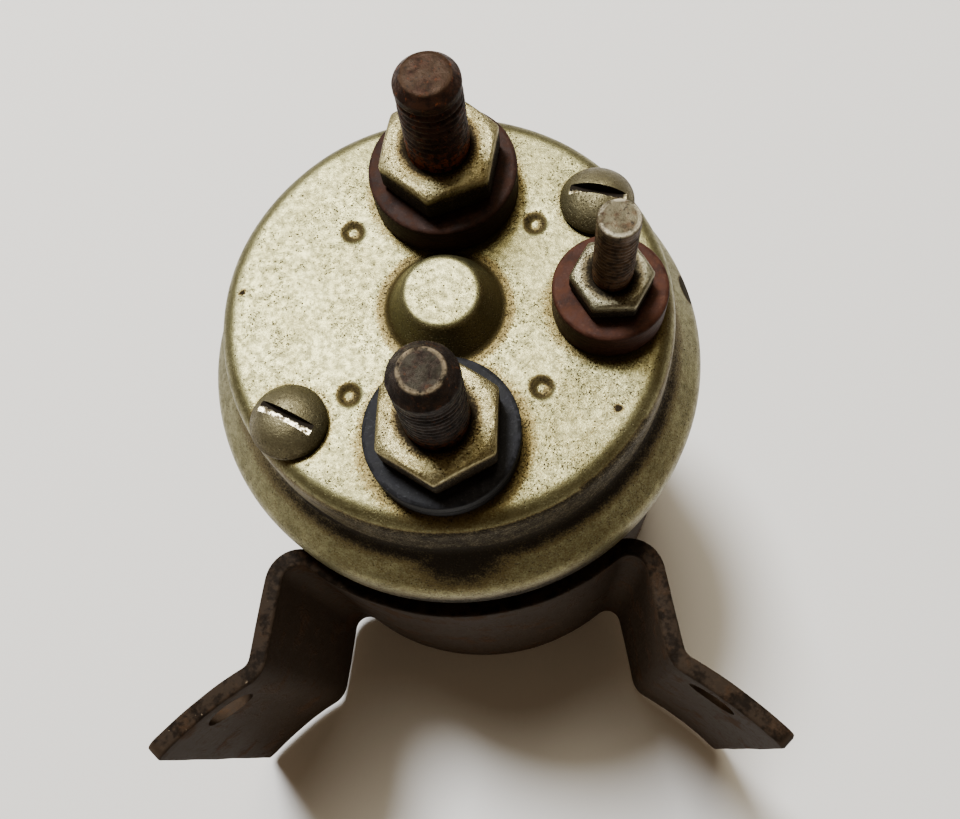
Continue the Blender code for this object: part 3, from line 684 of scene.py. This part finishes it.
def make_can():
    inside = CAN_RADIUS - CAN_WALL
    side_from = 25
    profile = rounded([
        (0.0, CAN_WALL, 0), (inside, CAN_WALL, 1.2), (inside, CAN_TOP, 0.3), (CAN_RADIUS, CAN_TOP, 0.3),
        (CAN_RADIUS, 0.0, 2.4), (0.0, 0.0, 0),
    ])
    rows = []
    for r, z in spaced(profile, 1.5):
        row = ring((0.0, 0.0), r, z, 160)
        rows.append([waved(point, r) for point in row] if r > side_from else row)
    can = skin("can_shell", rows)
    smooth(can, 50)
    can.data.materials.append(old_paint(
        "can_paint", (0.030, 0.0195, 0.012), (0.060, 0.031, 0.0155), (0.10, 0.07, 0.045), 0.0, CAN_TOP))
    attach(can, HOUSING)
    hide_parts("can_body")


# ---------------------------------------------------------------- the strap bracket

def turn_left(point, heading, radius, new_heading, step=0.6):
    """Points along an arc in plan from point, turning from one heading to another, in degrees."""
    side = 1 if new_heading > heading else -1
    start = math.radians(heading)
    centre = point + radius * side * Vector((-math.sin(start), math.cos(start)))
    count = max(3, math.ceil(math.radians(abs(new_heading - heading)) * radius / step))
    found = []
    for i in range(1, count + 1):
        now = math.radians(heading + (new_heading - heading) * i / count)
        found.append((centre - radius * side * Vector((-math.sin(now), math.cos(now))), math.degrees(now)))
    return found


def strap_line():
    """(point, heading) along the strap's centreline, from the saddle's middle to the tip of the +X foot."""
    saddle = CAN_RADIUS + GAP + STRAP_THICKNESS / 2
    line = [(Vector((0.0, -saddle)), 0.0)]
    line += turn_left(line[-1][0], 0.0, saddle, SADDLE_ANGLE, 1.5)
    line += turn_left(line[-1][0], SADDLE_ANGLE, CREST_RADIUS, LEG_HEADING)
    down = math.radians(LEG_HEADING)
    along = Vector((math.cos(down), math.sin(down)))
    corner = line[-1][0]
    line += [(corner + along * LEG_LENGTH * k / 8, LEG_HEADING) for k in range(1, 9)]
    line += turn_left(line[-1][0], LEG_HEADING, FOOT_BEND_RADIUS, FOOT_START)
    line += turn_left(line[-1][0], FOOT_START, MOTOR_RADIUS + STRAP_THICKNESS / 2, FOOT_END, 0.3)
    return line


def strap_section(point, heading, half_width, low, high, edge):
    """One rounded-rectangle ring of the strap, across its thickness and along Z."""
    turn = math.radians(heading)
    across = Vector((-math.sin(turn), math.cos(turn)))
    corner_angles = [math.radians(a) for a in (0, 22, 45, 68, 90)]
    corner = [(edge * math.sin(a), edge * math.cos(a)) for a in corner_angles]
    inset = half_width - edge
    heights = [low + edge + (high - low - 2 * edge) * k / 28 for k in range(29)]
    side = [(half_width, z) for z in heights]
    top = [(inset + a, high - edge + b) for a, b in reversed(corner[:-1])]
    outline = side + top
    outline += [(-a, z) for a, z in reversed(outline)]
    bottom = [(a, low + high - z) for a, z in top]
    outline += [(-a, z) for a, z in bottom] + list(reversed(bottom))
    points = []
    for a, z in outline:
        place = point + across * a
        spot = (place.x, place.y, z)
        bend = wobble(spot, 11.0, 0.14, 3.0) + wobble(spot, 2.5, 0.03, 9.0)
        points.append((place.x + across.x * bend, place.y + across.y * bend, z))
    return points


def make_bracket():
    low, high = heights_of("mounting_bracket")
    half = strap_line()
    line = [(Vector((-p.x, p.y)), -h) for p, h in reversed(half[1:])] + half
    reach = [0.0]
    for (a, _), (b, _) in zip(line, line[1:]):
        reach.append(reach[-1] + (b - a).length)
    total = reach[-1]
    rows = []
    for (point, heading), along in zip(line, reach):
        tip = min(along, total - along)
        pull = set_back(tip, FOOT_CORNER)
        pinch = set_back(tip, STRAP_EDGE) * 0.9
        half_width = STRAP_THICKNESS / 2 - pinch
        rows.append(strap_section(point, heading, half_width, low + pull, high - pull, STRAP_EDGE - pinch))
    strap = skin("strap_bracket", with_poles(rows))
    for side in (-1, 1):
        drill = cylinder("drill", FOOT_HOLE_RADIUS, -8.0, 8.0, 64)
        across = math.radians(FOOT_HOLE_HEADING + 90)
        normal = Vector((side * math.cos(across), math.sin(across), 0.0))
        place = Vector((side * FOOT_HOLE_PLACE[0], FOOT_HOLE_PLACE[1], FOOT_HOLE_HEIGHT)) * MM
        facing = normal.to_track_quat("Z", "Y").to_matrix().to_4x4()
        drill.matrix_world = Matrix.Translation(place) @ facing
        cut(strap, drill)
    smooth(strap, 40)
    strap.data.materials.clear()
    strap.data.materials.append(old_paint(
        "strap_paint", (0.036, 0.024, 0.0155), (0.060, 0.032, 0.0165), (0.18, 0.135, 0.085), low, high))
    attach(strap, HOUSING)
    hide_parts("mounting_bracket")


# ---------------------------------------------------------------- terminals and screws

def make_stud(name, material):
    """A threaded stud, with the flat head that is held inside the moulded board."""
    radius, head, tip_radius, chamfer, pitch, depth, slot_name = STUDS[name]
    node = f"{name}_stud"
    centre = centre_of(node)
    bottom, tip = heights_of(node)
    head_radius = radius_of(node)
    count = 72
    rolled_depth = 0.26 if name == "battery" else 0.0

    def thread(z):
        """The reach of the thread at this height, as a function of the angle."""
        below_chamfer = tip - z - chamfer
        def reach(angle):
            turns = z / pitch + angle / (2 * math.pi)
            groove = (0.5 + 0.5 * math.cos(2 * math.pi * turns)) ** 1.4
            wear = step_up(tip - z, chamfer + 0.6, chamfer + 2.4) * 0.85 + 0.15
            rolled = math.exp(-((below_chamfer - 1.5) / 0.30) ** 2)
            rolled += 0.8 * math.exp(-((below_chamfer - 2.9) / 0.30) ** 2)
            point = (radius * math.cos(angle), radius * math.sin(angle), z)
            worn = 0.85 + wobble(point, 3.0, 0.35, head_radius)
            cone = tip_radius + (tip - z) / chamfer * (radius - tip_radius)
            body = radius - depth * groove * wear * worn - rolled_depth * rolled
            return min(cone, body + wobble(point, 1.2, 0.05, 2.0) * step_up(tip - z, 0.2, 1.0))
        return reach

    rim = tip - 0.02

    def rubbed(x, y, z):
        """1 on the tip's rim, where the rust is rubbed away and a highlight is painted, and 0 elsewhere."""
        from_rim = abs(math.hypot(x - centre[0], y - centre[1]) - tip_radius)
        return (1 - step_up(from_rim, 0.0, 0.26)) * step_up(z, rim - 0.9, rim - 0.3)

    rows = [[(centre[0], centre[1], tip)]]
    rows += [ring(centre, tip_radius * k / 6, tip - 0.02 * k / 6, count) for k in range(1, 6)]
    length = tip - (bottom + head)
    tip_land = 0.06
    steps = math.ceil(length / (pitch / 9))
    for k in range(steps + 1):
        z = tip - tip_land - (length - tip_land) * k / steps
        rows.append(ring(centre, thread(z), z, count))
    flat_head = rounded([
        (radius, bottom + head, 0), (head_radius, bottom + head, 0.3),
        (head_radius, bottom, 0.3), (0.0, bottom, 0),
    ])
    rows += [ring(centre, r, z, count) for r, z in flat_head]
    stud = skin(f"{name}_thread", rows)
    attribute(stud, "dirt_wear_and_painted_light", rubbed)
    smooth(stud, 60)
    stud.data.materials.append(material)
    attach(stud, HOUSING)
    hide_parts(node)


def make_washer(name, material, bevel, groove=0.0):
    """A fibre washer with its spigot. groove is the height of a fine line round it, where two layers meet."""
    node = f"{name}_insulator"
    centre = centre_of(node)
    bottom, top = heights_of(node)
    radius = radius_of(node)
    bore = STUD_RADII[name] + GAP
    spigot = CAP_HOLES[f"{name}_stud"] - GAP
    foot = FACE + GAP
    side = [(radius, top - 0.15, bevel)]
    if groove:
        side += [
            (radius, foot + groove + 0.18, 0.1), (radius - 0.3, foot + groove, 0.1),
            (radius - 0.05, foot + groove - 0.2, 0.1),
        ]
    profile = rounded([
        (bore, bottom, 0.1), (bore, top, 0.2), (radius - 0.5, top, 0.6), *side, (radius, foot, 0.25),
        (spigot, foot, 0.1), (spigot, bottom, 0.1)], closed=True, steps=4)
    rows = [[(x, y, h + wobble((x, y, h), 5.0, 0.08, radius)) for x, y, h in ring(centre, r, z, 120)]
            for r, z in profile]
    washer = skin(f"{name}_washer", rows, wrap=True)
    smooth(washer, 45)
    washer.data.materials.append(material)
    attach(washer, HOUSING)
    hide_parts(node)


def make_nut(name, flats, turn, material):
    """A chamfered hex nut with softened corners, its bore threadless where the stud fills it."""
    node = f"{name}_nut"
    centre = centre_of(node)
    bottom, top = heights_of(node)
    apothem = flats / 2
    bore = STUD_RADII[name] - 0.12
    land = apothem * 0.975
    slope = math.tan(math.radians(24))
    sharpness = 64
    count = 180

    def hexagon(angle):
        """The reach of a hexagon with soft corners. A higher sharpness makes the corners sharper."""
        powers = sum(abs(math.cos(angle - math.radians(turn + 30 + 60 * k))) ** sharpness for k in range(3))
        return apothem / powers ** (1 / sharpness) + 0.06

    def side_row(pull, z_of):
        """A row round the hexagon, pulled in by pull, at a height that depends on the hexagon's reach."""
        row = []
        for i in range(count):
            angle = 2 * math.pi * i / count
            full = hexagon(angle)
            reach = full - pull
            row.append((centre[0] + reach * math.cos(angle), centre[1] + reach * math.sin(angle), z_of(full)))
        return row

    def upper(reach):
        return top - 0.05 - max(0.0, reach - land) * slope

    def lower(reach):
        return bottom + 0.05 + max(0.0, reach - apothem * 1.02) * 0.35

    bore_and_top = [(bore, bottom + 0.4), (bore, top - 0.45)]
    bore_and_top += [(bore + 0.25, top - 0.16), (bore + 0.5, top - 0.02)]
    bore_and_top += [(bore + 0.8 + (land - bore - 1.1) * k / 4, top) for k in range(5)]
    bore_and_top += [(land - 0.12, top - 0.02)]
    rows = [ring(centre, r, z, count) for r, z in bore_and_top]
    rows += [side_row(0.26, lambda reach: upper(reach - 0.26))]
    rows += [side_row(0.08, lambda reach: upper(reach) - 0.04)]
    rows += [side_row(0.0, lambda reach: upper(reach) - 0.22)]
    for share in (0.25, 0.5, 0.75):
        rows += [side_row(
            0.0, lambda reach: upper(reach) - 0.22 + (lower(reach) + 0.44 - upper(reach)) * share)]
    rows += [side_row(0.0, lambda reach: lower(reach) + 0.22)]
    rows += [side_row(0.1, lambda reach: lower(reach) + 0.05)]
    rows += [side_row(0.35, lower), ring(centre, bore + 0.4, bottom, count)]
    rows = [[(x, y, h + wobble((x, y, h), 2.2, 0.05, turn)) for x, y, h in row] for row in rows]
    nut = skin(f"{name}_hex_nut", rows, wrap=True)

    def dirt_wear_and_painted_light(x, y, z):
        radius = math.hypot(x - centre[0], y - centre[1])
        bore_side = 1.15 * (1 - step_up(radius - bore, 0.2, 2.2))
        side = 1.1 * step_up(top - z, 0.5, 1.7)
        return max(bore_side, side, 0.22)

    attribute(nut, "dirt_wear_and_painted_light", dirt_wear_and_painted_light)
    smooth(nut, 60)
    nut.data.materials.append(material)
    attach(nut, HOUSING)
    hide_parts(node)


def make_screw(node, turn, materials):
    """A slotted round-head screw. materials are the head's metal and the slot's."""
    centre = centre_of(node)
    bottom, top = heights_of(node)
    radius = radius_of(node)
    seat = FACE + GAP
    rim = 0.6
    rise = top - seat - rim
    sphere = (radius**2 + rise**2) / (2 * rise)
    dome = []
    for k in range(25):
        angle = math.asin(radius / sphere) * k / 24
        dome.append((sphere * math.sin(angle), top - sphere * (1 - math.cos(angle))))
    shank = [(radius, seat + rim * 0.5), (radius - 0.1, seat + 0.05), (radius - 0.35, seat)]
    shank += [(SCREW_SHANK_RADIUS, seat), (SCREW_SHANK_RADIUS, bottom + 0.5), (1.8, bottom), (0.0, bottom)]
    rows = []
    for r, z in dome + shank:
        row = ring(centre, r, z, 96)
        if z > seat + 0.2:
            row = [(x, y, h + wobble((x, y, h), 1.8, 0.05, turn)) for x, y, h in row]
        rows.append(row)
    screw = skin(f"{node}_head", rows)
    bm = bmesh.new()
    bmesh.ops.create_cube(bm, size=1.0)
    cutter_height = 4.0
    cutter_size = ((2 * radius + 2) * MM, SCREW_SLOT_WIDTH * MM, cutter_height * MM)
    bmesh.ops.scale(bm, verts=bm.verts, vec=cutter_size)
    cutter = from_bmesh("slot_cutter", bm)
    for face in cutter.data.polygons:
        face.material_index = 1
    for piece in (screw, cutter):
        for material in materials:
            piece.data.materials.append(material)
    cutter.location = Vector((centre[0], centre[1], top - SCREW_SLOT_DEPTH + cutter_height / 2)) * MM
    cutter.rotation_euler.z = math.radians(turn)
    cut(screw, cutter)
    rounding = screw.modifiers.new("Burr", "BEVEL")
    rounding.width = 0.09 * MM
    rounding.segments = 2
    rounding.limit_method = "ANGLE"
    rounding.angle_limit = math.radians(45)
    apply_modifiers(screw)

    def dirt_wear_and_painted_light(x, y, z):
        from_axis = math.hypot(x - centre[0], y - centre[1])
        return 0.45 * step_up(seat + 1.6 - z, 0.0, 1.5) + 0.25 * step_up(from_axis, 2.0, radius)

    attribute(screw, "dirt_wear_and_painted_light", dirt_wear_and_painted_light)
    smooth(screw, 40)
    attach(screw, HOUSING)
    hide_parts(node)


# ---------------------------------------------------------------- inside the can

def make_spring(node, coil, body):
    """A coil spring along Z.

    coil is its radius, low and high Z, turns and wire radius.
    """
    radius, low, high, turns, wire = coil
    count = round(turns * 40)
    up = Vector((0.0, 0.0, 1.0))
    rows = []
    for i in range(count + 1):
        angle = 2 * math.pi * turns * i / count
        # The end turns lie nearly flat, as closed ends do.
        share = i / count
        lift = low + wire + (high - low - 2 * wire) * step_up(share, -0.12, 1.12)
        out = Vector((math.cos(angle), math.sin(angle), 0.0))
        middle = out * radius + up * lift
        rows.append([tuple(middle + (out * math.cos(a) + up * math.sin(a)) * wire)
                     for a in (2 * math.pi * k / 12 for k in range(12))])
    spring = skin(f"{node}_coil", with_poles(rows))
    smooth(spring, 60)
    spring.data.materials.append(turned_metal(f"{node}_wire", (0.42, 0.40, 0.36), (0.24, 0.18, 0.12), 0.28))
    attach(spring, body)
    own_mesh(spring)
    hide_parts(node)


def finish_inside():
    """Gives the CAD nodes that keep their own mesh their materials."""
    brass = turned_metal("old_brass", (0.62, 0.44, 0.17), (0.36, 0.23, 0.09))
    iron = turned_metal("soft_iron", (0.34, 0.33, 0.31), (0.20, 0.15, 0.11), 0.36)
    copper = turned_metal("contact_copper", (0.70, 0.32, 0.18), (0.34, 0.14, 0.08))
    steel = turned_metal("bright_steel", (0.50, 0.49, 0.46), (0.30, 0.25, 0.18))
    board = moulded("moulded_board", (0.045, 0.020, 0.013), (0.10, 0.060, 0.040))
    plastic = moulded("bobbin_plastic", (0.035, 0.032, 0.028), (0.075, 0.068, 0.058))
    wire = wound_copper("coil_wire", (0.52, 0.19, 0.070), (0.15, 0.048, 0.020), 0.62)
    paper = woven("wrap_paper", (0.42, 0.31, 0.16), (0.20, 0.13, 0.06), 0.9)
    cloth = woven("cloth_sleeve", (0.24, 0.17, 0.075), (0.070, 0.045, 0.020), 0.35)
    red = fibre("washer_fibre", (0.135, 0.034, 0.018), (0.20, 0.085, 0.050), 58.0)
    cork = pressed_cork("gasket_cork", (0.30, 0.19, 0.095), (0.12, 0.065, 0.030))
    finishes = {
        "coil_bobbin": plastic, "terminal_board": board, "coil_winding": wire, "winding_wrap": paper,
        "control_lead": cloth, "ground_lead": cloth,
        "guide_sleeve": brass, "plunger_rod": brass, "control_lug": brass,
        "fixed_core": iron, "flux_plate": iron, "plunger": iron, "contact_disc": copper,
        "disc_washer_lower": red, "disc_washer_upper": red, "plunger_stop": red,
        "disc_clip": steel, "spring_seat": steel, "cap_gasket": cork,
    }
    for node, material in finishes.items():
        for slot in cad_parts[node].material_slots:
            slot.material = material


# ---------------------------------------------------------------- stage, light and camera

def make_stage():
    bm = bmesh.new()
    bmesh.ops.create_grid(bm, x_segments=8, y_segments=8, size=1.5)
    floor = from_bmesh("floor", bm)
    floor.location.z = -0.0001
    floor.data.materials.append(backdrop("white_sheet", (0.82, 0.800, 0.762)))


def area_light(name, place, size, power, colour):
    """A round lamp at place, facing LIGHT_AIM."""
    data = bpy.data.lights.new(name, "AREA")
    data.shape = "DISK"
    data.size = size
    data.energy = power
    data.color = colour
    light = bpy.data.objects.new(name, data)
    bpy.context.scene.collection.objects.link(light)
    light.location = place
    light.rotation_euler = (Vector(LIGHT_AIM) - Vector(place)).to_track_quat("-Z", "Y").to_euler()


def make_light():
    """A wide warm lamp, a smaller cool one, and a weak warm sky that the camera sees as a pale wall."""
    area_light("lamp", (-0.09, 0.42, 1.08), 0.62, 8.7, (1.0, 0.91, 0.72))
    area_light("window", (-0.25, 0.40, 1.08), 0.26, 22.7, (0.92, 0.95, 1.0))
    world = bpy.data.worlds.new("studio")
    bpy.context.scene.world = world
    world.use_nodes = True
    nodes, links = world.node_tree.nodes, world.node_tree.links
    sky = nodes["Background"]
    sky.inputs["Color"].default_value = (1.0, 0.72, 0.46, 1.0)
    sky.inputs["Strength"].default_value = 0.15
    wall = nodes.new("ShaderNodeBackground")
    wall.inputs["Color"].default_value = (0.60, 0.585, 0.56, 1.0)
    wall.inputs["Strength"].default_value = 1.0
    seen = nodes.new("ShaderNodeLightPath")
    mix = nodes.new("ShaderNodeMixShader")
    links.new(seen.outputs["Is Camera Ray"], mix.inputs[0])
    links.new(sky.outputs["Background"], mix.inputs[1])
    links.new(wall.outputs["Background"], mix.inputs[2])
    links.new(mix.outputs["Shader"], nodes["World Output"].inputs["Surface"])


def make_camera():
    """The photo's camera. Its place and turn were fitted, but the photo does not fix its lens."""
    data = bpy.data.cameras.new("camera")
    data.lens = 37.5
    data.sensor_width = 36.0
    data.clip_start = 0.01
    camera = bpy.data.objects.new("camera", data)
    bpy.context.scene.collection.objects.link(camera)
    camera.location = CAMERA_PLACE
    camera.rotation_euler = [math.radians(a) for a in CAMERA_TURN]
    bpy.context.scene.camera = camera


make_camera()
make_light()
make_stage()
make_end_cap()
make_can()
make_bracket()

# The last colour of each stud is its bright rim: rubbed metal with a painted highlight.
for stud_name, *shades in (
    ("battery", (0.034, 0.014, 0.007), (0.17, 0.042, 0.009), (0.034, 0.019, 0.010), (0.055, 0.030, 0.016)),
    ("starter", (0.017, 0.009, 0.005), (0.08, 0.026, 0.007), (0.022, 0.018, 0.011), (0.27, 0.21, 0.13)),
    ("control", (0.075, 0.043, 0.021), (0.08, 0.036, 0.013), (0.105, 0.090, 0.053), (0.62, 0.56, 0.40)),
):
    nut_top = heights_of(f"{stud_name}_nut")[1]
    stud_tip = heights_of(f"{stud_name}_stud")[1]
    make_stud(stud_name, rusty_thread(f"{stud_name}_rust", nut_top, stud_tip, *shades))

for washer_name, face, dust, sheen, slot_name, bevel, groove in (
    ("battery", (0.026, 0.011, 0.007), (0.055, 0.026, 0.017), 0.10, "dark_fibre", 0.45, 0.0),
    ("starter", (0.008, 0.008, 0.009), (0.036, 0.036, 0.041), 0.13, "slate_fibre", 0.3, 1.7),
    ("control", (0.046, 0.016, 0.009), (0.080, 0.034, 0.020), 0.10, "red_fibre", 0.5, 0.0),
):
    washer_top = heights_of(f"{washer_name}_insulator")[1]
    finish = fibre(f"{washer_name}_fibre", face, dust, washer_top, sheen)
    make_washer(washer_name, finish, bevel, groove)

yellow = ((0.41, 0.365, 0.185), (0.175, 0.138, 0.052), (0.08, 0.048, 0.014), (0.010, 0.006, 0.003))
steel = ((0.30, 0.28, 0.18), (0.16, 0.142, 0.082), (0.065, 0.044, 0.018), (0.010, 0.007, 0.004))
for nut_name, flats, turn, shades in (
    ("battery", 13.7, 19.0, yellow), ("starter", 13.7, 26.6, yellow), ("control", 8.7, 59.7, steel),
):
    make_nut(nut_name, flats, turn, plating(f"{nut_name}_nut_plating", shades, relief=2.6, roughness=0.30))

tarnished = ((0.190, 0.168, 0.095), (0.115, 0.098, 0.050), (0.062, 0.045, 0.019), (0.013, 0.009, 0.005))
screw_finish = plating("screw_metal", tarnished, speckle=0.9, metallic=0.9, relief=1.8, roughness=0.42)
for screw_node, turn, scrape, shadow_from, end_from in (
    ("cap_screw_left", -28.0, (0.66, 0.60, 0.42), 0.05, 4.6),
    ("cap_screw_right", -14.0, (0.26, 0.225, 0.13), -0.10, 3.4),
):
    slot_finish = slot_metal(f"{screw_node}_slot", centre_of(screw_node), turn, scrape, shadow_from, end_from)
    make_screw(screw_node, turn, (screw_finish, slot_finish))

make_spring("return_spring", (3.1, 74.5, 89.2, 6.0, 0.4), HOUSING)
make_spring("contact_spring", (5.2, 62.1, 65.1, 2.5, 0.5), PLUNGER)
finish_inside()
